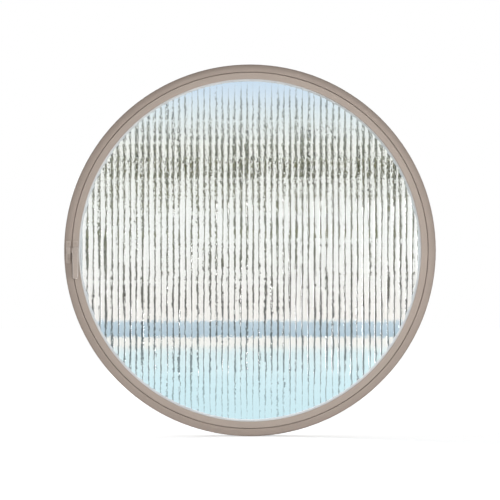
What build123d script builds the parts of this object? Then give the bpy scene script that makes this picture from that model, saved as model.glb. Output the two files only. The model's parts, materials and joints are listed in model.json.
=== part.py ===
from build123d import *
import os
from math import degrees, sqrt

# A round window of thermally broken aluminium with a reeded glass unit.
# The fixed frame is a rolled ring that fills a round hole in a wall. The sash is a second
# rolled ring inside it, hung at the right on two lift-off hinges so that it opens outward,
# and held shut at the left by a lever handle whose spur lies over the frame.
# The origin is the centre of the ring at half its depth. X points right as seen from the
# room, Z points up, and Y points from the room to the outside.

# Overall sizes
overall_diameter = 1200.0
frame_depth = 60.0

# Radial widths, from the wall inward
frame_face_width = 24.5
frame_box_width = 15.0
shadow_gap = 1.5
rim_gap = 3.0
sash_face_width = 21.0
sash_pocket_wall = 4.0
glass_edge_gap = 5.0

# Lengths along the depth
leg_depth = 13.0
break_length = 12.0
room_shell_depth = 26.0
shoulder_thickness = 5.0
metal_thickness = 2.0
break_recess = 1.0
face_fall = 4.5
face_crown = 0.7
room_edge_radius = 4.0
face_edge_bevel = 1.0

# Glass unit
gasket_thickness = 3.0
reeded_thickness = 6.0
reed_pitch = 19.7
reed_depth = 1.6
cavity_width = 12.0
clear_thickness = 4.0
gasket_lip = 7.0
gasket_groove = 2.5
gasket_lip_rise = 3.0
gasket_edge_inset = 2.0
outside_gasket_lip = 6.0
sealant_recess = 0.5
spacer_width = 7.5
spacer_show = 5.5
bead_step = 2.0
bead_fall = 5.0
bead_count = 4
bead_joint = 0.4
block_length = 60.0
block_thickness = 4.5
block_angles = (60.0, 120.0, 240.0, 300.0)

# Stop seal and drain slots on the frame
seal_foot = 6.0
seal_tip = 3.0
drain_length = 24.0
drain_height = 5.0
drain_angles = (252.0, 288.0)

# Clearances
seal_clearance = 0.3
block_clearance = 0.1
bead_clearance = 0.15
pin_clearance = 0.05
seat_clearance = 0.05
spur_clearance = 0.3
washer_clearance = 0.2
blind_end_gap = 1.0

# Hinges
hinge_height = 70.0
hinge_axis_inset = 16.0
hinge_gap = 1.0
barrel_radius = 7.0
barrel_standoff = 1.0
barrel_length = 30.0
barrel_cap = 3.0
hinge_washer_radius = 6.5
hinge_washer_thickness = 0.9
hinge_pin_radius = 3.5
leaf_thickness = 4.0
leaf_margin = 1.0
frame_leaf_length = 58.0
sash_leaf_length = 38.0
frame_leaf_screws = (37.0, 51.0)
sash_leaf_screws = (11.0, 29.0)

# Countersunk screws
screw_shank_radius = 2.0
screw_head_radius = 3.8
screw_head_height = 1.9
screw_grip = 9.0
drive_length = 4.0
drive_width = 1.0
drive_depth = 1.4

# Handle
pivot_inset = 10.0
plate_length = 60.0
plate_width = 15.0
plate_thickness = 3.0
plate_corner = 3.0
plate_bevel = 0.6
plate_screw_spacing = 44.0
lever_head_radius = 10.5
lever_head_height = 13.0
lever_length = 91.0
lever_tip_width = 17.0
lever_lean = 0.5
lever_tip_corner = 4.0
lever_grip_gap = 8.5
lever_grip_thickness = 8.5
lever_crank_start = 9.0
lever_crank_end = 26.0
lever_crank_offset = 4.0
lever_crank_radius = 12.0
lever_edge_radius = 3.0
spur_reach = 29.0
spur_above = 9.0
spur_below = 12.0
spur_block_length = 12.5
spur_height = 9.5
spur_neck_width = 17.0
spur_neck_height = 4.5
spur_edge_radius = 1.5
pivot_radius = 4.0
pivot_head_radius = 6.0
pivot_head_height = 1.4
pivot_head_dome = 1.0
pivot_foot_radius = 6.0
pivot_foot_height = 1.5
spring_washer_radius = 7.5
spring_washer_thickness = 1.2

# Striker plate under the spur
striker_width = 14.0
striker_above = 30.0
striker_below = 42.0
striker_screw_above = 21.0
striker_screw_below = 27.0

# Radii worked out from the widths
outer_radius = overall_diameter / 2
leg_radius = outer_radius - frame_face_width
box_radius = outer_radius - frame_box_width
sash_face_radius = leg_radius - shadow_gap
sash_rim_radius = box_radius - rim_gap
sight_radius = sash_face_radius - sash_face_width
pocket_radius = sash_face_radius - sash_pocket_wall
glass_radius = pocket_radius - glass_edge_gap

# Depths worked out from the room face to the outside face
room_face = -frame_depth / 2
outside_face = frame_depth / 2
leg_back = room_face + leg_depth
break_start = room_face + room_shell_depth
break_end = break_start + break_length
shoulder_face = break_start - shoulder_thickness
reed_crest = leg_back + gasket_thickness
reeded_back = reed_crest + reeded_thickness
clear_front = reeded_back + cavity_width
clear_back = clear_front + clear_thickness
bead_front = clear_back + gasket_thickness
bead_back = outside_face - bead_step
leaf_top = outside_face + leaf_thickness
spacer_inner = sight_radius - gasket_lip - spacer_show
spacer_outer = spacer_inner + spacer_width

# Places of the moving hardware
hinge_axis_x = outer_radius - hinge_axis_inset
hinge_axis_y = outside_face + barrel_standoff + barrel_radius
pivot_x = -(sight_radius + pivot_inset)
plate_face = room_face - plate_thickness
spur_underside = plate_face - spur_clearance
lever_face = spur_underside - lever_head_height
striker_x = pivot_x - spur_reach + spur_block_length / 2

ring_axis = Axis.Y
ABOVE, BELOW = 1, -1
ROOM_TO_OUT, OUT_TO_ROOM = 1, -1


def band(inner, outer, front, back):
    """A rectangle of a ring's section, between two radii and two depths."""
    middle = Pos((inner + outer) / 2, (front + back) / 2)
    return middle * Rectangle(outer - inner, back - front)


def near(section, radius, depth):
    """The corner of a section that lies nearest to a radius and a depth."""
    return section.vertices().sort_by_distance((radius, depth, 0))[0]


def roll(section):
    """The ring that a section makes when it is rolled about the window's axis."""
    return revolve(section, ring_axis)


def polygon(*points):
    """A flat section with straight sides through the points."""
    return make_face(Polyline(*points, close=True))


def sector(inner, outer, z_low, z_high, front, back):
    """A plate on the +X side that follows the ring between two heights."""
    plane = Plane((0, front, 0), x_dir=(1, 0, 0), z_dir=(0, 1, 0))
    ring = Circle(outer) - Circle(inner)
    middle = Pos(outer, -(z_low + z_high) / 2)
    window = middle * Rectangle(outer, z_high - z_low)
    return extrude(plane * (ring & window), back - front)


def along_depth(x, z, front, back, radius):
    """A round bar or hole along the depth."""
    bar = Cylinder(radius, back - front, align=(Align.CENTER, Align.CENTER, Align.MIN))
    return Pos(x, front, z) * Rot(-90, 0, 0) * bar


def along_height(x, y, z_low, z_high, radius):
    """A round bar or hole along the height."""
    bar = Cylinder(radius, z_high - z_low, align=(Align.CENTER, Align.CENTER, Align.MIN))
    return Pos(x, y, z_low) * bar


def room_side_edges(shape):
    """The edges of the face that lies nearest to the room."""
    return shape.faces().sort_by(Axis.Y)[0].edges()


def hollow(section):
    """A section with one chamber inside walls of the metal's thickness."""
    return section - offset(section, -metal_thickness)


def countersunk(x, z, face, inward, extra=0.0):
    """A countersunk screw flush with a face, or its hole when there is extra room around it."""
    flat = (Align.CENTER, Align.CENTER, Align.MIN)
    head_radius, shank_radius = screw_head_radius + extra, screw_shank_radius + extra
    screw = Cone(head_radius, shank_radius, screw_head_height, align=flat)
    screw += Cylinder(shank_radius, screw_grip, align=flat)
    if not extra:
        slot = Box(drive_length, drive_width, drive_depth, align=flat)
        screw -= [slot, Rot(0, 0, 90) * slot]
    return Pos(x, face, z) * Rot(-90 * inward, 0, 0) * screw


def frame_outline():
    """The outline of the frame's room-side extrusion: a crowned face leg on a box."""
    rim_corner = (outer_radius, room_face + face_fall)
    crown = SagittaArc((leg_radius, room_face), rim_corner, -face_crown)
    sides = Polyline(
        rim_corner,
        (outer_radius, break_start),
        (box_radius, break_start),
        (box_radius, leg_back),
        (leg_radius, leg_back),
        (leg_radius, room_face),
    )
    section = make_face([crown, *sides.edges()])
    section = fillet(near(section, *rim_corner), room_edge_radius)
    return chamfer(near(section, leg_radius, room_face), face_edge_bevel)


def box_ring(inner, outer, front, back):
    """A box extrusion with one chamber, rolled to a ring."""
    return roll(hollow(band(inner, outer, front, back)))


def frame_outside_shell():
    """The frame's outside extrusion, with slots at the bottom that let water out."""
    ring = box_ring(box_radius, outer_radius, break_end, outside_face)
    slot = Box(drain_height, metal_thickness * 2, drain_length)
    slot = Pos((box_radius + outer_radius) / 2, outside_face, 0) * slot
    return ring - [Rot(0, -angle, 0) * slot for angle in drain_angles]


def thermal_break(inner, outer):
    """The resin core that joins the room-side shell to the outside shell."""
    return roll(band(inner + break_recess, outer, break_start, break_end))


def stop_seal():
    """The seal on the back of the frame's leg, which the sash shoulder closes on."""
    middle = (leg_radius + box_radius) / 2
    tip = shoulder_face - seal_clearance
    return roll(polygon(
        (middle - seal_foot / 2, leg_back),
        (middle + seal_foot / 2, leg_back),
        (middle + seal_tip / 2, tip),
        (middle - seal_tip / 2, tip),
    ))


def sash_room_shell():
    """The sash's room-side extrusion: a box flange, the pocket wall and a shoulder."""
    section = band(sight_radius, sash_face_radius, room_face, leg_back)
    section += band(pocket_radius, sash_face_radius, leg_back, shoulder_face)
    section += band(pocket_radius, sash_rim_radius, shoulder_face, break_start)
    for radius in (sight_radius, sash_face_radius):
        section = chamfer(near(section, radius, room_face), face_edge_bevel)
    wall = metal_thickness
    section -= band(sight_radius + wall, sash_face_radius - wall, room_face + wall, leg_back - wall)
    return roll(section)


def glazing_beads():
    """The outside beads: hollow quarter rings whose face falls away so that rain runs off."""
    bead_rim = pocket_radius - bead_clearance
    outline = polygon(
        (sight_radius, bead_front),
        (bead_rim, bead_front),
        (bead_rim, bead_back),
        (sight_radius, bead_back - bead_fall),
    )
    turn = 360 / bead_count
    joint = degrees(bead_joint / sight_radius)
    bead = revolve(hollow(outline), ring_axis, turn - joint)
    return [Rot(0, number * turn, 0) * bead for number in range(bead_count)]


def room_gasket():
    """The light gasket between the sash flange and the reeded pane, with a sloped lip."""
    back = reed_crest - washer_clearance
    lip_root = sight_radius - gasket_groove
    return roll(polygon(
        (glass_radius - gasket_edge_inset, leg_back),
        (lip_root, leg_back),
        (lip_root, leg_back - gasket_lip_rise),
        (sight_radius - gasket_lip, back),
        (glass_radius - gasket_edge_inset, back),
    ))


def outside_gasket():
    """The gasket between the clear pane and the bead."""
    inner, outer = sight_radius - outside_gasket_lip, glass_radius - gasket_edge_inset
    return roll(band(inner, outer, clear_back, bead_front))


def reeded_pane():
    """The room-side pane, with upright reeds rolled into the face toward the room."""
    count = int(glass_radius // reed_pitch) + 1
    edges = []
    for number in range(-count, count + 1):
        left = (number - 0.5) * reed_pitch
        crest = (number * reed_pitch, reed_crest)
        valley = reed_crest + reed_depth
        edges.append(ThreePointArc((left, valley), crest, (left + reed_pitch, valley)))
    reach = (count + 0.5) * reed_pitch
    corners = [
        (reach, reed_crest + reed_depth),
        (reach, reeded_back),
        (-reach, reeded_back),
        (-reach, reed_crest + reed_depth),
    ]
    edges += [Line(corners[side], corners[side + 1]) for side in range(3)]
    slab = extrude(make_face(edges), reach, both=True)
    return slab & along_depth(0, 0, reed_crest, reeded_back, glass_radius)


def setting_blocks():
    """The blocks that carry the glass clear of the pocket."""
    inner = glass_radius + block_clearance
    outer = inner + block_thickness
    front = reed_crest + reed_depth
    ring = roll(band(inner, outer, front, clear_back))
    cutter = Box(glass_edge_gap * 2, frame_depth, block_length)
    cutter = Pos(outer, (front + clear_back) / 2, 0) * cutter
    return [ring & Rot(0, -angle, 0) * cutter for angle in block_angles]


def hinge_span(height, hand, length):
    """The two ends along Z of a hinge half; hand is +1 above the joint and -1 below it."""
    start = height + hand * hinge_gap / 2
    return sorted((start, start + hand * length))


def hinge_barrel(height, hand):
    """The plain barrel of one hinge half."""
    low, high = hinge_span(height, hand, barrel_length)
    return along_height(hinge_axis_x, hinge_axis_y, low, high, barrel_radius)


def leaf_plate(height, hand, length, inner, outer):
    """The plate of one hinge half, which follows the ring that it is screwed to."""
    low, high = hinge_span(height, hand, length)
    edge_in, edge_out = inner + leaf_margin, outer - leaf_margin
    return sector(edge_in, edge_out, low, high, outside_face, leaf_top)


def leaf_screws(height, hand, inner, outer, distances, extra=0.0):
    """The screws of one hinge half, along the middle of its plate."""
    middle = (inner + outer) / 2
    heights = [height + hand * distance for distance in distances]
    return [
        countersunk(sqrt(middle ** 2 - z ** 2), z, leaf_top, OUT_TO_ROOM, extra)
        for z in heights
    ]


def frame_leaf(height):
    """The lower half of a lift-off hinge, on the outside face of the frame."""
    plate = leaf_plate(height, BELOW, frame_leaf_length, box_radius, outer_radius)
    low, high = hinge_span(height, BELOW, barrel_length)
    bore = along_height(hinge_axis_x, hinge_axis_y, low, high, hinge_pin_radius)
    return plate + hinge_barrel(height, BELOW) - bore - frame_hinge_screws(height, seat_clearance)


def sash_leaf(height):
    """The upper half of a lift-off hinge: a plate on the sash, an arm and a closed barrel."""
    plate = leaf_plate(height, ABOVE, sash_leaf_length, pocket_radius, sash_rim_radius)
    low, high = hinge_span(height, ABOVE, barrel_length)
    reach = max(abs(low), abs(high))
    arm_start = sqrt(((pocket_radius + sash_rim_radius) / 2) ** 2 - reach ** 2)
    arm_size = (hinge_axis_x - arm_start, leaf_thickness - barrel_standoff, barrel_length)
    arm = Pos((arm_start + hinge_axis_x) / 2, leaf_top - arm_size[1] / 2, (low + high) / 2)
    arm *= Box(*arm_size)
    bore_radius = hinge_pin_radius + pin_clearance
    bore = along_height(hinge_axis_x, hinge_axis_y, low, high - barrel_cap, bore_radius)
    return plate + arm + hinge_barrel(height, ABOVE) - bore - sash_hinge_screws(height, seat_clearance)


def hinge_pin(height):
    """The pin that is pressed into the lower barrel and turns in the upper one."""
    low = hinge_span(height, BELOW, barrel_length)[0]
    high = hinge_span(height, ABOVE, barrel_length)[1] - barrel_cap - blind_end_gap
    return along_height(hinge_axis_x, hinge_axis_y, low, high, hinge_pin_radius)


def hinge_washer(height):
    """The thrust washer that lies on the lower barrel."""
    low = height - hinge_gap / 2
    high = low + hinge_washer_thickness
    disc = along_height(hinge_axis_x, hinge_axis_y, low, high, hinge_washer_radius)
    hole_radius = hinge_pin_radius + pin_clearance
    return disc - along_height(hinge_axis_x, hinge_axis_y, low, high, hole_radius)


def frame_hinge_screws(height, extra=0.0):
    """The screws that hold one hinge to the frame, or their holes."""
    return leaf_screws(height, BELOW, box_radius, outer_radius, frame_leaf_screws, extra)


def sash_hinge_screws(height, extra=0.0):
    """The screws that hold one hinge to the sash, or their holes."""
    return leaf_screws(height, ABOVE, pocket_radius, sash_rim_radius, sash_leaf_screws, extra)


def face_plate(x, z_low, z_high, width, back):
    """A plate with rounded corners, from a depth forward to the face of the hardware."""
    outline = RectangleRounded(width, z_high - z_low, plate_corner)
    plane = Plane((x, back, (z_low + z_high) / 2), x_dir=(1, 0, 0), z_dir=(0, -1, 0))
    plate = extrude(plane * outline, back - plate_face)
    return chamfer(room_side_edges(plate), plate_bevel)


def striker_screws(extra=0.0):
    """The screws of the striker plate, or their holes."""
    heights = (striker_screw_above, -striker_screw_below)
    return [countersunk(striker_x, z, plate_face, ROOM_TO_OUT, extra) for z in heights]


def striker_plate():
    """The wear plate that the spur bears on; its back follows the frame's crowned face."""
    deepest = room_face + face_fall
    plate = face_plate(striker_x, -striker_below, striker_above, striker_width, deepest)
    return plate - roll(frame_outline()) - striker_screws(seat_clearance)


def handle_screws(extra=0.0):
    """The screws of the handle's base plate, or their holes."""
    heights = (plate_screw_spacing / 2, -plate_screw_spacing / 2)
    return [countersunk(pivot_x, z, plate_face, ROOM_TO_OUT, extra) for z in heights]


def base_plate():
    """The handle's base plate, with a seat behind it for the foot of the pivot."""
    half = plate_length / 2
    plate = face_plate(pivot_x, -half, half, plate_width, room_face)
    plate -= along_depth(pivot_x, 0, plate_face, room_face, pivot_radius)
    plate -= along_depth(pivot_x, 0, room_face - pivot_foot_height, room_face, pivot_foot_radius)
    return plate - handle_screws(seat_clearance)


def handle_pivot():
    """The riveted pivot: a foot behind the plate, a shank and a low domed head."""
    foot = along_depth(pivot_x, 0, room_face - pivot_foot_height, room_face, pivot_foot_radius)
    head_seat = lever_face - washer_clearance
    head_top = head_seat - pivot_head_height
    shank = along_depth(pivot_x, 0, head_seat, room_face, pivot_radius)
    head = along_depth(pivot_x, 0, head_top, head_seat, pivot_head_radius)
    head = fillet(room_side_edges(head), pivot_head_dome)
    return foot + shank + head


def spring_washer():
    """The washer on the base plate that keeps the lever where it is put."""
    top = plate_face - spring_washer_thickness
    disc = along_depth(pivot_x, 0, top, plate_face, spring_washer_radius)
    return disc - along_depth(pivot_x, 0, top, plate_face, pivot_radius + washer_clearance)


def lever_front():
    """The lever's outline seen from the room: a round head and a bar that narrows."""
    tip = -lever_length
    tip_x = lever_lean * (lever_head_radius - lever_tip_width / 2)
    half_tip = lever_tip_width / 2
    bar = make_face(Polyline(
        (-lever_head_radius, 0),
        (lever_head_radius, 0),
        (tip_x + half_tip, tip),
        (tip_x - half_tip, tip),
        close=True,
    ))
    corners = bar.vertices().sort_by(Axis.Y)[:2]
    return Circle(lever_head_radius) + fillet(corners, lever_tip_corner)


def lever_side():
    """The lever's outline seen from the side: a thick head cranked out to a thinner grip."""
    top = lever_head_radius
    tip = -lever_length
    outline = make_face(Polyline(
        (top, 0),
        (top, lever_head_height),
        (-lever_crank_start, lever_head_height),
        (-lever_crank_end, lever_grip_gap + lever_grip_thickness),
        (tip, lever_grip_gap + lever_grip_thickness),
        (tip, lever_grip_gap),
        (-lever_crank_end - lever_crank_offset, lever_grip_gap),
        (-lever_crank_start - lever_crank_offset, 0),
        close=True,
    ))
    bends = outline.vertices().filter_by(lambda corner: tip < corner.X < 0)
    return fillet(bends, lever_crank_radius)


def handle_lever():
    """The lever with its spur, one casting that turns on the pivot."""
    front_plane = Plane((pivot_x, spur_underside, 0), x_dir=(1, 0, 0), z_dir=(0, -1, 0))
    side_plane = Plane((pivot_x, spur_underside, 0), x_dir=(0, 0, 1), z_dir=(1, 0, 0))
    front = extrude(front_plane * lever_front(), frame_depth)
    side = extrude(side_plane * lever_side(), lever_head_radius * 2, both=True)
    lever = front & side
    outer_edges = lever.edges().filter_by(lambda edge: edge.center().Y < lever_face + 1)
    lever = fillet(outer_edges, lever_edge_radius)
    block = Box(spur_block_length, spur_height, spur_above + spur_below)
    block = fillet(room_side_edges(block), spur_edge_radius)
    block_x = pivot_x - spur_reach + spur_block_length / 2
    block_z = (spur_above - spur_below) / 2
    lever += Pos(block_x, spur_underside - spur_height / 2, block_z) * block
    neck_length = spur_reach - spur_block_length / 2
    neck = Box(neck_length, spur_neck_height, spur_neck_width)
    lever += Pos(pivot_x - neck_length / 2, spur_underside - spur_neck_height / 2, 0) * neck
    lever -= along_depth(pivot_x, 0, -frame_depth, 0, pivot_radius + pin_clearance)
    seat = plate_face - spring_washer_thickness - washer_clearance
    seat_radius = spring_washer_radius + washer_clearance
    return lever - along_depth(pivot_x, 0, seat, 0, seat_radius)


def write(name, pieces):
    """Saves one node, as one solid or as a group of separate solids."""
    pieces = pieces if isinstance(pieces, list) else [pieces]
    solids = [solid for piece in pieces for solid in piece.solids()]
    export_step(Compound(children=solids) if len(solids) > 1 else solids[0], f"parts/{name}.step")


os.makedirs("parts", exist_ok=True)

hinge_heights = {"lower": -hinge_height, "upper": hinge_height}
frame_screws = [screw for z in hinge_heights.values() for screw in frame_hinge_screws(z)]
sash_screws = [screw for z in hinge_heights.values() for screw in sash_hinge_screws(z)]
frame_holes = [hole for z in hinge_heights.values() for hole in frame_hinge_screws(z, seat_clearance)]
sash_holes = [hole for z in hinge_heights.values() for hole in sash_hinge_screws(z, seat_clearance)]
sash_box = box_ring(pocket_radius, sash_rim_radius, break_end, outside_face)

write("frame_inner_profile", roll(hollow(frame_outline())) - striker_screws(seat_clearance))
write("frame_thermal_break", thermal_break(box_radius, outer_radius))
write("frame_outer_profile", frame_outside_shell() - frame_holes)
write("frame_stop_seal", stop_seal())
write("striker_plate", striker_plate())
write("striker_screws", striker_screws())

write("sash_inner_profile", sash_room_shell() - handle_screws(seat_clearance))
write("sash_thermal_break", thermal_break(pocket_radius, sash_rim_radius))
write("sash_outer_profile", sash_box - sash_holes)
write("glazing_bead", glazing_beads())
write("room_glazing_gasket", room_gasket())
write("outer_glazing_gasket", outside_gasket())
write("reeded_pane", reeded_pane())
write("clear_pane", along_depth(0, 0, clear_front, clear_back, glass_radius))
write("spacer_bar", roll(band(spacer_inner, spacer_outer, reeded_back, clear_front)))
write("edge_sealant", roll(band(spacer_outer, glass_radius - sealant_recess, reeded_back, clear_front)))
write("setting_blocks", setting_blocks())

for side, height in hinge_heights.items():
    write(f"{side}_hinge_frame_leaf", frame_leaf(height))
    write(f"{side}_hinge_sash_leaf", sash_leaf(height))
    write(f"{side}_hinge_pin", hinge_pin(height))
    write(f"{side}_hinge_washer", hinge_washer(height))
write("frame_hinge_screws", frame_screws)
write("sash_hinge_screws", sash_screws)

write("handle_base_plate", base_plate())
write("handle_screws", handle_screws())
write("handle_pivot", handle_pivot())
write("handle_spring_washer", spring_washer())
write("handle_lever", handle_lever())
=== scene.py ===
import json
from math import cos, floor, pi, radians, sin, sqrt

import bpy
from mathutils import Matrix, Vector


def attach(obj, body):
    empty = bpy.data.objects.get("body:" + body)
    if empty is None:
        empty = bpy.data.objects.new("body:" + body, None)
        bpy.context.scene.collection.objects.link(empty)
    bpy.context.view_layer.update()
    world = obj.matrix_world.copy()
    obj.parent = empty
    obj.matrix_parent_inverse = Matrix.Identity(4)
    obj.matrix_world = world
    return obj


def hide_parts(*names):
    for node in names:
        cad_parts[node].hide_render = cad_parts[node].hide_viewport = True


# The looks of the round window. All lengths are in metres and all colours are linear.
# X is right as seen from the room, Y goes from the room to the outside, Z is up.
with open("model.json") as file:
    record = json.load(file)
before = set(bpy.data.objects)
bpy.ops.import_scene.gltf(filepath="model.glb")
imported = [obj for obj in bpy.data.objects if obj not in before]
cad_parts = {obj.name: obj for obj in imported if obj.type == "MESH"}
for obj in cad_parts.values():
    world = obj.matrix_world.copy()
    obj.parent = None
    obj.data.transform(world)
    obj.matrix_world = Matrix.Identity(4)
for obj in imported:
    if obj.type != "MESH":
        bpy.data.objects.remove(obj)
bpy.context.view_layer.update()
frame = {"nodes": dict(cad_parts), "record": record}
nodes = frame["nodes"]

# Sizes that the model shares with this scene
RIM_RADIUS = 0.600
GLASS_RADIUS = 0.565
SIGHT_RADIUS = 0.553
FLANGE_BACK_Y = -0.017
REED_CREST_Y = -0.014
CAVITY_FRONT_Y = -0.008
CAVITY_BACK_Y = 0.004
REED_PITCH = 0.0197
REED_DEPTH = 0.0016

# A hairline gap, kept where a new piece would otherwise touch the glass or the sash's inner edge
HAIRLINE = 0.0001


# Shader helpers

def node(tree, kind, settings=None, **inputs):
    """Adds a shader node. Each input is a number, a colour or the socket that feeds it."""
    made = tree.nodes.new("ShaderNode" + kind)
    for name, value in (settings or {}).items():
        setattr(made, name, value)
    for name, value in inputs.items():
        feed(tree, made.inputs[name.replace("_", " ")], value)
    return made


def feed(tree, socket, value):
    """Links a socket to another, or sets its own value."""
    if isinstance(value, bpy.types.NodeSocket):
        tree.links.new(value, socket)
    else:
        socket.default_value = value


def maths(tree, operation, *values, kind="Math"):
    """The result of a maths node, or of a vector maths node."""
    made = node(tree, kind, {"operation": operation})
    for socket, value in zip(made.inputs, values):
        feed(tree, socket, value)
    return made.outputs[0]


def add(tree, first, second):
    return maths(tree, "ADD", first, second)


def less(tree, first, second):
    return maths(tree, "SUBTRACT", first, second)


def times(tree, first, second):
    return maths(tree, "MULTIPLY", first, second)


def scaled(tree, value, span, low):
    """A value that runs from low over a span while the given one runs from 0 to 1."""
    return add(tree, times(tree, value, span), low)


def centred(tree, value, span):
    """A value that swings round zero over a span while the given one runs from 0 to 1."""
    return times(tree, less(tree, value, 0.5), span)


def length(tree, vector):
    """The length of a vector."""
    return node(tree, "VectorMath", {"operation": "LENGTH"}, Vector=vector).outputs["Value"]


def mix(tree, factor, first, second):
    """A colour between two colours."""
    made = tree.nodes.new("ShaderNodeMix")
    made.data_type = "RGBA"
    for index, value in ((0, factor), (6, first), (7, second)):
        feed(tree, made.inputs[index], value)
    return made.outputs[2]


def ramp(tree, factor, stops):
    """The colour of a ramp; stops are pairs of a place and a colour or a grey."""
    made = tree.nodes.new("ShaderNodeValToRGB")
    feed(tree, made.inputs[0], factor)
    band = made.color_ramp
    while len(band.elements) < len(stops):
        band.elements.new(0.5)
    for element, (place, colour) in zip(band.elements, stops):
        element.position = place
        element.color = (colour, colour, colour, 1) if isinstance(colour, float) else colour
    return made.outputs[0]


def rise(tree, value, start=0.0, end=1.0):
    """A share that grows from 0 to 1 while the value runs from start to end."""
    return ramp(tree, value, [(start, 0.0), (end, 1.0)])


def noise(tree, scale, detail=2.0, stretch=(1, 1, 1)):
    """A noise value in the object's own space, stretched along its axes."""
    place = node(tree, "TexCoord").outputs["Object"]
    moved = node(tree, "Mapping", Vector=place, Scale=stretch).outputs[0]
    return node(tree, "TexNoise", Vector=moved, Scale=scale, Detail=detail).outputs[0]


def bumped(tree, height, strength, distance):
    """A face direction with a fine relief."""
    return node(tree, "Bump", Height=height, Strength=strength, Distance=distance).outputs[0]


def darker(colour, share):
    """A colour at a share of its brightness."""
    return tuple(channel * share for channel in colour[:3]) + (1,)


def material(name):
    """A new material with an empty node tree and its output node."""
    made = bpy.data.materials.new(name)
    made.use_nodes = True
    made.node_tree.nodes.clear()
    return made, made.node_tree, node(made.node_tree, "OutputMaterial")


# Materials

# Painted shade on the fixed ring grows from the first of these radii to the second, and towards the top
RIM_SHADE_FROM = 0.584
RIM_SHADE_TO = 0.598
RIM_SHADE_AT_CENTRE = 0.55
RIM_SHADE_PER_METRE_UP = 0.8

# A coat's fine specks: how much of them shows, how dark they are beside the coat and how they stand out
SPECK_SHARE = 0.16
SPECK_SHADE = 0.55
SPECK_RELIEF = 0.4

# A face that is square to no axis gets wear and a painted highlight: fully where its direction's largest
# part is the first of these values, and not at all from the second value on
WORN_AND_HIGHLIT_FULLY = 0.75
WORN_AND_HIGHLIT_NOWHERE = 0.985
WORN_AND_HIGHLIT_COLOUR = (0.80, 0.76, 0.72, 1)

# A rolled pane's fine waves beside its broad ones
FINE_WAVES = 0.35


def rim_painted_shade(tree):
    """Where painted shade darkens the fixed ring: near its rim, and more towards its top."""
    spot = node(tree, "TexCoord").outputs["Object"]
    parts = node(tree, "SeparateXYZ", Vector=spot).outputs
    flat = node(tree, "CombineXYZ", X=parts[0], Y=0.0, Z=parts[2]).outputs[0]
    outward = maths(tree, "DIVIDE", less(tree, length(tree, flat), RIM_SHADE_FROM), RIM_SHADE_TO - RIM_SHADE_FROM)
    upward = scaled(tree, parts[2], span=RIM_SHADE_PER_METRE_UP, low=RIM_SHADE_AT_CENTRE)
    return times(tree, rise(tree, outward), rise(tree, upward))


def edge_wear_and_highlight(tree, amount):
    """Where the coat shows wear and a painted highlight: in patches, on rounded edges and slanted faces.
    """
    face = node(tree, "NewGeometry").outputs["Normal"]
    size = maths(tree, "ABSOLUTE", face, kind="VectorMath")
    sides = node(tree, "SeparateXYZ", Vector=size).outputs
    largest = maths(tree, "MAXIMUM", maths(tree, "MAXIMUM", sides[0], sides[1]), sides[2])
    edge = ramp(tree, largest, [(WORN_AND_HIGHLIT_FULLY, 1.0), (WORN_AND_HIGHLIT_NOWHERE, 0.0)])
    patches = noise(tree, scale=70.0, detail=3.0)
    return times(tree, edge, times(tree, patches, amount))


def painted(name, light, dark, rough, bump=0.06, worn_and_highlit=0.0, rim=1.0):
    """Satin powder coat: fine orange peel, slow changes of tone and of gloss, painted shade near a rim,
    and wear with a painted highlight on edges.
    """
    made, tree, output = material(name)
    speck = noise(tree, scale=2600.0)
    colour = mix(tree, noise(tree, scale=9.0, detail=3.0), dark, light)
    colour = mix(tree, times(tree, speck, SPECK_SHARE), colour, darker(light, SPECK_SHADE))
    # Painted shade near the rim of the fixed ring
    if rim < 1.0:
        colour = mix(tree, rim_painted_shade(tree), colour, darker(dark, rim))
    # Wear and a painted highlight on rounded edges
    if worn_and_highlit:
        colour = mix(tree, edge_wear_and_highlight(tree, worn_and_highlit), colour, WORN_AND_HIGHLIT_COLOUR)
    gloss = scaled(tree, noise(tree, scale=60.0), span=0.12, low=rough - 0.06)
    peel = add(tree, noise(tree, scale=900.0), times(tree, speck, SPECK_RELIEF))
    shader = node(tree, "BsdfPrincipled", Base_Color=colour, Roughness=gloss, Specular_IOR_Level=0.4,
                  Normal=bumped(tree, peel, strength=bump, distance=0.0004))
    tree.links.new(shader.outputs[0], output.inputs[0])
    return made


def moulded(name, light, dark, rough):
    """Rubber, resin or moulded plastic: a dull skin with a fine grain."""
    made, tree, output = material(name)
    colour = mix(tree, noise(tree, scale=25.0, detail=4.0), dark, light)
    gloss = scaled(tree, noise(tree, scale=120.0), span=0.15, low=rough - 0.07)
    grain = noise(tree, scale=700.0, detail=3.0)
    shader = node(tree, "BsdfPrincipled", Base_Color=colour, Roughness=gloss,
                  Normal=bumped(tree, grain, strength=0.1, distance=0.0005))
    tree.links.new(shader.outputs[0], output.inputs[0])
    return made


def metal(name, light, dark, rough, stretch):
    """Bare metal with the fine lines of turning, drawing or brushing."""
    made, tree, output = material(name)
    lines = noise(tree, scale=300.0, detail=4.0, stretch=stretch)
    colour = mix(tree, lines, dark, light)
    gloss = scaled(tree, lines, span=0.2, low=rough - 0.1)
    shader = node(tree, "BsdfPrincipled", Base_Color=colour, Metallic=1.0, Roughness=gloss,
                  Normal=bumped(tree, lines, strength=0.15, distance=0.0003))
    tree.links.new(shader.outputs[0], output.inputs[0])
    return made


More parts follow.
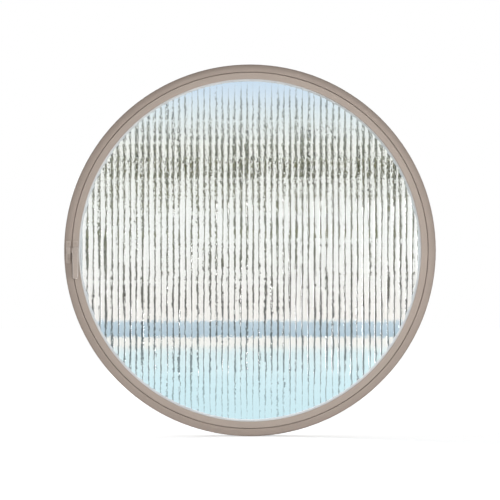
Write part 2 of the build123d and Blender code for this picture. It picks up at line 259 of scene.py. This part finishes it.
def glass(name, tint, sideways=0.0, upright=0.0):
    """Clear glass with a faint tint and clear shadows; a rolled face leans a little here and there."""
    made, tree, output = material(name)
    broad = centred(tree, noise(tree, scale=120.0, detail=1.0, stretch=(1, 1, 0.05)), sideways)
    fine = centred(tree, noise(tree, scale=170.0, detail=1.0, stretch=(1, 1, 0.5)), sideways * FINE_WAVES)
    nod = centred(tree, noise(tree, scale=210.0, detail=1.0), upright)
    lean = node(tree, "CombineXYZ", X=add(tree, broad, fine), Y=0.0, Z=nod).outputs[0]
    face = node(tree, "NewGeometry").outputs["Normal"]
    face = maths(tree, "NORMALIZE", maths(tree, "ADD", face, lean, kind="VectorMath"), kind="VectorMath")
    shader = node(tree, "BsdfPrincipled", Base_Color=tint, Roughness=0.0, IOR=1.5,
                  Transmission_Weight=1.0, Normal=face)
    clear = node(tree, "BsdfTransparent", Color=tint)
    through = node(tree, "MixShader", Fac=node(tree, "LightPath").outputs["Is Shadow Ray"])
    tree.links.new(shader.outputs[0], through.inputs[1])
    tree.links.new(clear.outputs[0], through.inputs[2])
    tree.links.new(through.outputs[0], output.inputs[0])
    return made


# Each material slot has a lighter colour, a darker colour and a roughness. A coat has settings of its
# own after them, and a metal has the stretch of its lines.
coats = {
    "frame_coating": ((0.485, 0.402, 0.345, 1), (0.44, 0.366, 0.314, 1), 0.48, {}),
    # The hardware coat is a lighter copy of the frame coat: painted light
    "hardware_coating": ((0.52, 0.44, 0.385, 1), (0.47, 0.395, 0.345, 1), 0.34,
                         {"bump": 0.04, "worn_and_highlit": 1.2}),
    "coated_screw": ((0.47, 0.39, 0.335, 1), (0.43, 0.355, 0.30, 1), 0.4, {"bump": 0.04}),
}
mouldings = {
    "thermal_break": ((0.022, 0.022, 0.024, 1), (0.012, 0.012, 0.013, 1), 0.6),
    "stop_seal": ((0.24, 0.215, 0.20, 1), (0.19, 0.17, 0.155, 1), 0.7),
    "room_gasket": ((0.76, 0.77, 0.77, 1), (0.68, 0.69, 0.69, 1), 0.45),
    "outer_gasket": ((0.025, 0.025, 0.026, 1), (0.014, 0.014, 0.015, 1), 0.6),
    "spacer_metal": ((0.70, 0.71, 0.71, 1), (0.62, 0.63, 0.63, 1), 0.4),
    "edge_sealant": ((0.016, 0.016, 0.016, 1), (0.009, 0.009, 0.009, 1), 0.5),
    "block_plastic": ((0.035, 0.037, 0.045, 1), (0.022, 0.024, 0.030, 1), 0.5),
    "washer_plastic": ((0.62, 0.62, 0.59, 1), (0.52, 0.52, 0.50, 1), 0.45),
}
metals = {
    "screw_steel": ((0.58, 0.56, 0.54, 1), (0.44, 0.43, 0.42, 1), 0.32, (1, 1, 1)),
    "pin_steel": ((0.60, 0.60, 0.60, 1), (0.46, 0.46, 0.46, 1), 0.28, (1, 1, 12)),
}
materials = {
    "reeded_glass": glass("reeded_glass", tint=(0.985, 0.995, 0.998, 1), sideways=0.34, upright=0.005),
    "clear_glass": glass("clear_glass", tint=(0.985, 0.995, 0.997, 1)),
}
for name, (light, dark, rough, extra) in coats.items():
    materials[name] = painted(name, light, dark, rough, **extra)
for name, (light, dark, rough) in mouldings.items():
    materials[name] = moulded(name, light, dark, rough)
for name, (light, dark, rough, stretch) in metals.items():
    materials[name] = metal(name, light, dark, rough, stretch)

for part in frame["record"]["subparts"]:
    shown = nodes[part["node"]]
    shown.data.materials.clear()
    shown.data.materials.append(materials[part["material_slot"]])

# The fixed ring gets a darker copy of the coat, painted shade, with more painted shade near its rim that
# grows towards the top; the copy is also a little rougher
shaded_frame_coat = painted("frame_coating_shaded", light=(0.435, 0.357, 0.307, 1),
                    dark=(0.39, 0.318, 0.271, 1), rough=0.52, rim=0.70)
for name in ("frame_inner_profile", "frame_outer_profile"):
    nodes[name].data.materials[0] = shaded_frame_coat


# New pieces

def new_object(name, corners, faces, surface):
    """An object made of corners and faces, with its material."""
    mesh = bpy.data.meshes.new(name)
    mesh.from_pydata(corners, [], faces)
    mesh.materials.append(surface)
    made = bpy.data.objects.new(name, mesh)
    bpy.context.collection.objects.link(made)
    return made


def smooth(piece, sharp):
    """Shades a piece smooth, except across edges that turn by more than this many degrees."""
    piece.data.shade_smooth()
    piece.data.set_sharp_from_angle(angle=radians(sharp))


def reed_columns():
    """The places across the pane where its front face bends, from left to right."""
    steps = 16
    just_inside = 0.99999
    reach = GLASS_RADIUS * just_inside
    count = floor(GLASS_RADIUS / REED_PITCH) + 1
    marks = range(-count * steps, count * steps)
    places = [(mark / steps) * REED_PITCH + REED_PITCH / 2 for mark in marks]
    inside = [x for x in places if abs(x) < reach]
    return [-reach, *inside, reach]


def reed_front(x):
    """The depth of the reeded face at a place across the pane."""
    bend = (REED_PITCH ** 2 / 4 + REED_DEPTH ** 2) / (2 * REED_DEPTH)
    offset = x - REED_PITCH * floor(x / REED_PITCH + 0.5)
    return REED_CREST_Y + bend - sqrt(bend ** 2 - offset ** 2)


def reeded_sheet():
    """The reeded pane with round reeds that stay smooth in a close view."""
    back = CAVITY_FRONT_Y - HAIRLINE
    corners, faces = [], []
    for x in reed_columns():
        reach, front = sqrt(GLASS_RADIUS ** 2 - x ** 2), reed_front(x)
        corners += [(x, front, reach), (x, front, -reach), (x, back, -reach), (x, back, reach)]
    for start in range(0, len(corners) - 4, 4):
        for side in range(4):
            after = (side + 1) % 4
            faces.append((start + side, start + after, start + 4 + after, start + 4 + side))
    last = len(corners) - 4
    faces += [(3, 2, 1, 0), (last, last + 1, last + 2, last + 3)]
    made = new_object("reeded_sheet", corners, faces, materials["reeded_glass"])
    smooth(made, sharp=15)
    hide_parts("reeded_pane")
    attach(made, "sash")


reeded_sheet()


def turned_ring(name, profile, replaced, slot, sharp):
    """A ring turned round the Y axis from a profile of radii and depths."""
    turns = 360
    size = len(profile)
    corners, faces = [], []
    for turn in range(turns):
        angle = 2 * pi * turn / turns
        corners += [(radius * cos(angle), y, radius * sin(angle)) for radius, y in profile]
    for turn in range(turns):
        start, after = turn * size, (turn + 1) % turns * size
        for side in range(size):
            ahead = (side + 1) % size
            faces.append((start + side, start + ahead, after + ahead, after + side))
    made = new_object(name, corners, faces, materials[slot])
    smooth(made, sharp)
    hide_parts(replaced)
    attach(made, "sash")


def gasket_ring():
    """The light gasket round the glass, with a soft round lip."""
    lip_radius, lip_rise, edge_inset = 0.5485, 0.0063, 0.002
    steps = 10
    foot_y = REED_CREST_Y - 2 * HAIRLINE
    inner, outer = SIGHT_RADIUS - HAIRLINE, GLASS_RADIUS - edge_inset
    profile = [(outer, foot_y)]
    for step in range(steps + 1):
        angle = pi / 2 * step / steps
        radius = lip_radius + (inner - lip_radius) * (1 - cos(angle))
        profile.append((radius, foot_y - lip_rise * sin(angle)))
    profile += [(inner, FLANGE_BACK_Y), (outer, FLANGE_BACK_Y)]
    turned_ring("gasket_ring", profile, "room_glazing_gasket", "room_gasket", sharp=40)


gasket_ring()

# The spacer keeps the panes apart, and the sealant closes the cavity outside it
SPACER_INNER = 0.5466
SPACER_OUTER = 0.554
SPACER_BACK_Y = CAVITY_BACK_Y - HAIRLINE


def spacer_ring():
    """The spacer between the panes, a drawn bar with folded corners and a grooved inner face."""
    inner, outer = SPACER_INNER, SPACER_OUTER
    front, back = CAVITY_FRONT_Y, SPACER_BACK_Y
    middle = (front + back) / 2
    fold, groove, half_groove = 0.0008, 0.0004, 0.0012
    profile = [
        (outer, front + fold), (outer, back - fold), (outer - fold, back),
        (inner + fold, back), (inner, back - fold),
        (inner, middle + half_groove), (inner + groove, middle), (inner, middle - half_groove),
        (inner, front + fold), (inner + fold, front), (outer - fold, front),
    ]
    turned_ring("spacer_ring", profile, "spacer_bar", "spacer_metal", sharp=20)


spacer_ring()


def sealant_ring():
    """The black sealant outside the spacer, drawn in a little between the panes."""
    edge_inset, hollow = 0.0005, 0.0008
    inner, outer = SPACER_OUTER, GLASS_RADIUS - edge_inset
    front, back = CAVITY_FRONT_Y, SPACER_BACK_Y
    third = (back - front) / 3
    profile = [
        (outer, front), (outer - hollow, front + third), (outer - hollow, back - third),
        (outer, back), (inner, back), (inner, front),
    ]
    turned_ring("sealant_ring", profile, "edge_sealant", "edge_sealant", sharp=60)


sealant_ring()


# The stage

# The floor lies just under the rim. It glows for the camera, so that it is white, with less glow up to
# the near distance from the window's centre, where the shadow shows, and the full glow from the far one.
FLOOR_GAP = 0.0002
FLOOR_Z = -(RIM_RADIUS + FLOOR_GAP)
FLOOR_REACH = 12.0
NEAR, NEAR_GLOW = 1.75, 0.53
FAR, FAR_GLOW = 4.0, 0.80


def floor_sheet():
    """A plain white floor that keeps the window's shadow and lets the glass show the world."""
    surface, tree, output = material("floor")
    matt = node(tree, "BsdfDiffuse", Color=(0.8, 0.8, 0.8, 1))
    # A ramp runs from 0 to 1, so the distances are shrunk to fit it
    shrink = 0.2
    away = times(tree, length(tree, node(tree, "TexCoord").outputs["Object"]), shrink)
    glow = ramp(tree, away, [(NEAR * shrink, NEAR_GLOW), (FAR * shrink, FAR_GLOW)])
    glow = times(tree, node(tree, "LightPath").outputs["Is Camera Ray"], glow)
    light = node(tree, "Emission", Color=(1, 1, 1, 1), Strength=glow)
    both = node(tree, "AddShader")
    tree.links.new(matt.outputs[0], both.inputs[0])
    tree.links.new(light.outputs[0], both.inputs[1])
    tree.links.new(both.outputs[0], output.inputs[0])
    corners = [(-FLOOR_REACH, -FLOOR_REACH, FLOOR_Z), (FLOOR_REACH, -FLOOR_REACH, FLOOR_Z),
               (FLOOR_REACH, FLOOR_REACH, FLOOR_Z), (-FLOOR_REACH, FLOOR_REACH, FLOOR_Z)]
    made = new_object("floor", corners, [(0, 1, 2, 3)], surface)
    made.visible_transmission = False


floor_sheet()


def area_light(name, place, size, watts, mirrored=True):
    """A soft square lamp that shines on the middle of the window and isn't seen through its glass."""
    lamp = bpy.data.lights.new(name, "AREA")
    lamp.shape = "SQUARE"
    lamp.size = size
    lamp.energy = watts
    holder = bpy.data.objects.new(name, lamp)
    holder.location = place
    holder.rotation_euler = (-Vector(place)).to_track_quat("-Z", "Y").to_euler()
    holder.visible_transmission = False
    holder.visible_glossy = mirrored
    bpy.context.collection.objects.link(holder)


area_light("key_lamp", place=(3.3, -3.4, -0.35), size=1.2, watts=94)
area_light("front_lamp", place=(0.8, -6.0, 2.1), size=1.0, watts=46)
area_light("low_lamp", place=(0.9, -5.4, -0.15), size=0.8, watts=33, mirrored=False)
area_light("left_lamp", place=(-3.4, -3.0, -0.2), size=0.8, watts=34)
area_light("back_lamp", place=(-2.0, 3.5, 2.0), size=2.5, watts=95)


# The view behind the glass

# Each list below runs by height, which is 0 at the foot of the glass and 1 at its top, as the camera
# sees it. Its values were chosen while renders were compared with the photo.
WHITE = (1, 1, 1, 1)
WORLD_LIGHT = 0.32

# The upward part of a ray's direction, times this, is its height from the middle of the glass
VIEW_HEIGHTS = 8.1

# Between the streaks: water, a pale bank, a blue-grey band, bright mist, then sky
VIEW_BANDS = [
    (0.00, (0.64, 0.86, 0.92, 1)), (0.12, (0.70, 0.90, 0.95, 1)), (0.20, (0.80, 0.93, 0.95, 1)),
    (0.225, (0.98, 0.96, 0.92, 1)), (0.245, (0.98, 0.96, 0.92, 1)),
    (0.25, (0.50, 0.63, 0.72, 1)), (0.29, (0.60, 0.72, 0.80, 1)),
    (0.295, (1.00, 0.96, 0.92, 1)), (0.55, (1.00, 1.00, 0.98, 1)), (0.80, (0.98, 0.98, 0.93, 1)),
    (0.90, (0.82, 0.90, 0.93, 1)), (0.96, (0.68, 0.80, 0.91, 1)), (1.00, (0.62, 0.76, 0.90, 1)),
]

# A grey-green haze lies over the bands beside the streaks
HAZE_COLOUR = (0.45, 0.46, 0.40, 1)
HAZE_BY_HEIGHT = [
    (0.00, 0.0), (0.20, 0.06), (0.30, 0.10), (0.60, 0.12), (0.75, 0.26), (0.85, 0.26), (0.94, 0.04),
    (1.00, 0.0),
]

# Below the foot of the glass the view turns pale, by this share for each height of the glass
PALE_COLOUR = (0.88, 0.93, 0.94, 1)
PALE_PER_HEIGHT = 0.7

# Each reed bends the view over this angle and shows one dark streak, which ripples a little
REED_SWEEP = radians(19.0)
RIPPLE_SCALE = 220.0
RIPPLE_WIDTH = 0.04

# By height: how far the beat of a reed rises before its streak begins, how ragged the streak is, and
# how strongly it shows
STREAK_START = [
    (0.00, 0.90), (0.10, 0.82), (0.20, 0.78), (0.30, 0.74), (0.36, 0.70), (0.45, 0.72), (0.60, 0.73),
    (0.67, 0.67), (0.74, 0.44), (0.78, 0.50), (0.83, 0.62), (0.88, 0.70), (0.93, 0.74), (0.97, 0.88),
    (1.00, 1.00),
]
STREAK_RAGGED = [
    (0.00, 0.2), (0.20, 0.4), (0.30, 0.35), (0.60, 0.45), (0.70, 0.9), (0.85, 0.9), (0.93, 0.3),
    (1.00, 0.1),
]
STREAK_STRENGTH = [
    (0.00, 0.50), (0.07, 0.70), (0.14, 0.95), (0.22, 1.0), (0.35, 1.0), (0.60, 0.95), (0.74, 1.0),
    (0.85, 0.95), (0.92, 0.85), (0.97, 0.4), (1.00, 0.0),
]

# The streaks' colours by height: deep, warmer in patches, with pale flecks
DEEP_COLOURS = [
    (0.10, (0.11, 0.17, 0.19, 1)), (0.35, (0.02, 0.02, 0.018, 1)), (0.60, (0.025, 0.033, 0.012, 1)),
    (0.75, (0.015, 0.018, 0.008, 1)), (0.90, (0.09, 0.115, 0.13, 1)),
]
WARM_COLOURS = [
    (0.10, (0.16, 0.23, 0.25, 1)), (0.35, (0.09, 0.08, 0.065, 1)), (0.55, (0.11, 0.12, 0.025, 1)),
    (0.75, (0.12, 0.115, 0.03, 1)), (0.90, (0.14, 0.18, 0.17, 1)),
]
FLECK_COLOUR = (0.42, 0.42, 0.34, 1)
FLECK_BY_HEIGHT = [(0.20, 0.0), (0.60, 0.3), (0.72, 0.5), (0.90, 0.8), (1.00, 0.3)]

# The cells of the leaf noise, to a radian across and to one unit of the ray's upward part. The warm
# patches are larger, and the flecks finer.
LEAVES_ACROSS = 18.0
LEAVES_UPWARD = 1000.0
WARM_SCALE = 0.6
FLECK_STRETCH = (1.2, 2.2, 1.0)


def leaf_noise(tree, place, scale=1.0, detail=2.0):
    """A noise value in the view behind the glass."""
    return node(tree, "TexNoise", Vector=place, Scale=scale, Detail=detail).outputs[0]


def reed_beat(tree, around, upward):
    """Runs from 0 to 1 and back over each reed's sweep, with a slight ripple up the reed."""
    ripple = node(tree, "TexNoise", {"noise_dimensions": "1D"}, W=upward, Scale=RIPPLE_SCALE, Detail=3.0)
    wave = centred(tree, ripple.outputs[0], RIPPLE_WIDTH)
    beat = maths(tree, "PINGPONG", add(tree, around, wave), REED_SWEEP / 2)
    return maths(tree, "DIVIDE", beat, REED_SWEEP / 2)


def streak_share(tree, height, place, beat):
    """How much of a streak shows."""
    leaves = rise(tree, leaf_noise(tree, place), start=0.36, end=0.64)
    ragged = centred(tree, leaves, ramp(tree, height, STREAK_RAGGED))
    inside = less(tree, add(tree, beat, ragged), ramp(tree, height, STREAK_START))
    shown = rise(tree, add(tree, inside, 0.5), start=0.48, end=0.56)
    return times(tree, shown, ramp(tree, height, STREAK_STRENGTH))


def streak_colour(tree, height, place):
    """The dark colour of the streaks, with its warm patches and its flecks."""
    warmth = rise(tree, leaf_noise(tree, place, scale=WARM_SCALE), start=0.42, end=0.60)
    colour = mix(tree, warmth, ramp(tree, height, DEEP_COLOURS), ramp(tree, height, WARM_COLOURS))
    finer = maths(tree, "MULTIPLY", place, FLECK_STRETCH, kind="VectorMath")
    fleck = rise(tree, leaf_noise(tree, finer, detail=1.0), start=0.50, end=0.60)
    fleck = times(tree, fleck, ramp(tree, height, FLECK_BY_HEIGHT))
    return mix(tree, fleck, colour, FLECK_COLOUR)


def between_streaks(tree, height, beat):
    """The bright bands, with haze beside each streak and a pale tone far below."""
    haze = times(tree, rise(tree, beat, start=0.25, end=0.60), ramp(tree, height, HAZE_BY_HEIGHT))
    colour = mix(tree, haze, ramp(tree, height, VIEW_BANDS), HAZE_COLOUR)
    below = rise(tree, times(tree, height, -PALE_PER_HEIGHT))
    return mix(tree, below, colour, PALE_COLOUR)


def world_light():
    """Soft white light, white for the camera, and a bright view for what the glass bends."""
    world = bpy.data.worlds.new("studio")
    bpy.context.scene.world = world
    world.use_nodes = True
    tree = world.node_tree
    tree.nodes.clear()
    ray = node(tree, "SeparateXYZ", Vector=node(tree, "TexCoord").outputs["Generated"]).outputs
    height = scaled(tree, ray[2], span=VIEW_HEIGHTS, low=0.5)
    around = maths(tree, "ARCTAN2", ray[0], ray[1])
    place = node(tree, "CombineXYZ", X=times(tree, around, LEAVES_ACROSS),
                 Y=times(tree, ray[2], LEAVES_UPWARD), Z=0.0).outputs[0]
    beat = reed_beat(tree, around, ray[2])
    view = mix(tree, streak_share(tree, height, place, beat), between_streaks(tree, height, beat),
               streak_colour(tree, height, place))
    path = node(tree, "LightPath").outputs
    colour = mix(tree, path["Is Transmission Ray"], WHITE, view)
    shown = node(tree, "Background", Color=colour, Strength=1.0)
    light = node(tree, "Background", Color=WHITE, Strength=WORLD_LIGHT)
    seen = maths(tree, "MAXIMUM", path["Is Camera Ray"], path["Is Transmission Ray"])
    both = node(tree, "MixShader", Fac=seen)
    tree.links.new(light.outputs[0], both.inputs[1])
    tree.links.new(shown.outputs[0], both.inputs[2])
    output = node(tree, "OutputWorld")
    tree.links.new(both.outputs[0], output.inputs[0])


world_light()


# The photo is 500 pixels wide and shows 3.226 mm of the window's room face to a pixel. The camera is
# raised a little, so that the ring lies where the photo has it.
VIEW_WIDTH = 1.613
FACE_Y = -0.030
CAMERA_Z = 0.001
LENS = 200.0
SENSOR = 36.0


def camera():
    """A long lens straight in front, at the photo's framing."""
    lens = bpy.data.cameras.new("camera")
    lens.lens = LENS
    lens.sensor_width = SENSOR
    lens.clip_end = 100
    holder = bpy.data.objects.new("camera", lens)
    distance = VIEW_WIDTH * LENS / SENSOR
    holder.location = (0, FACE_Y - distance, CAMERA_Z)
    holder.rotation_euler = (pi / 2, 0, 0)
    bpy.context.collection.objects.link(holder)
    bpy.context.scene.camera = holder


camera()
bpy.context.scene.view_settings.view_transform = "Standard"
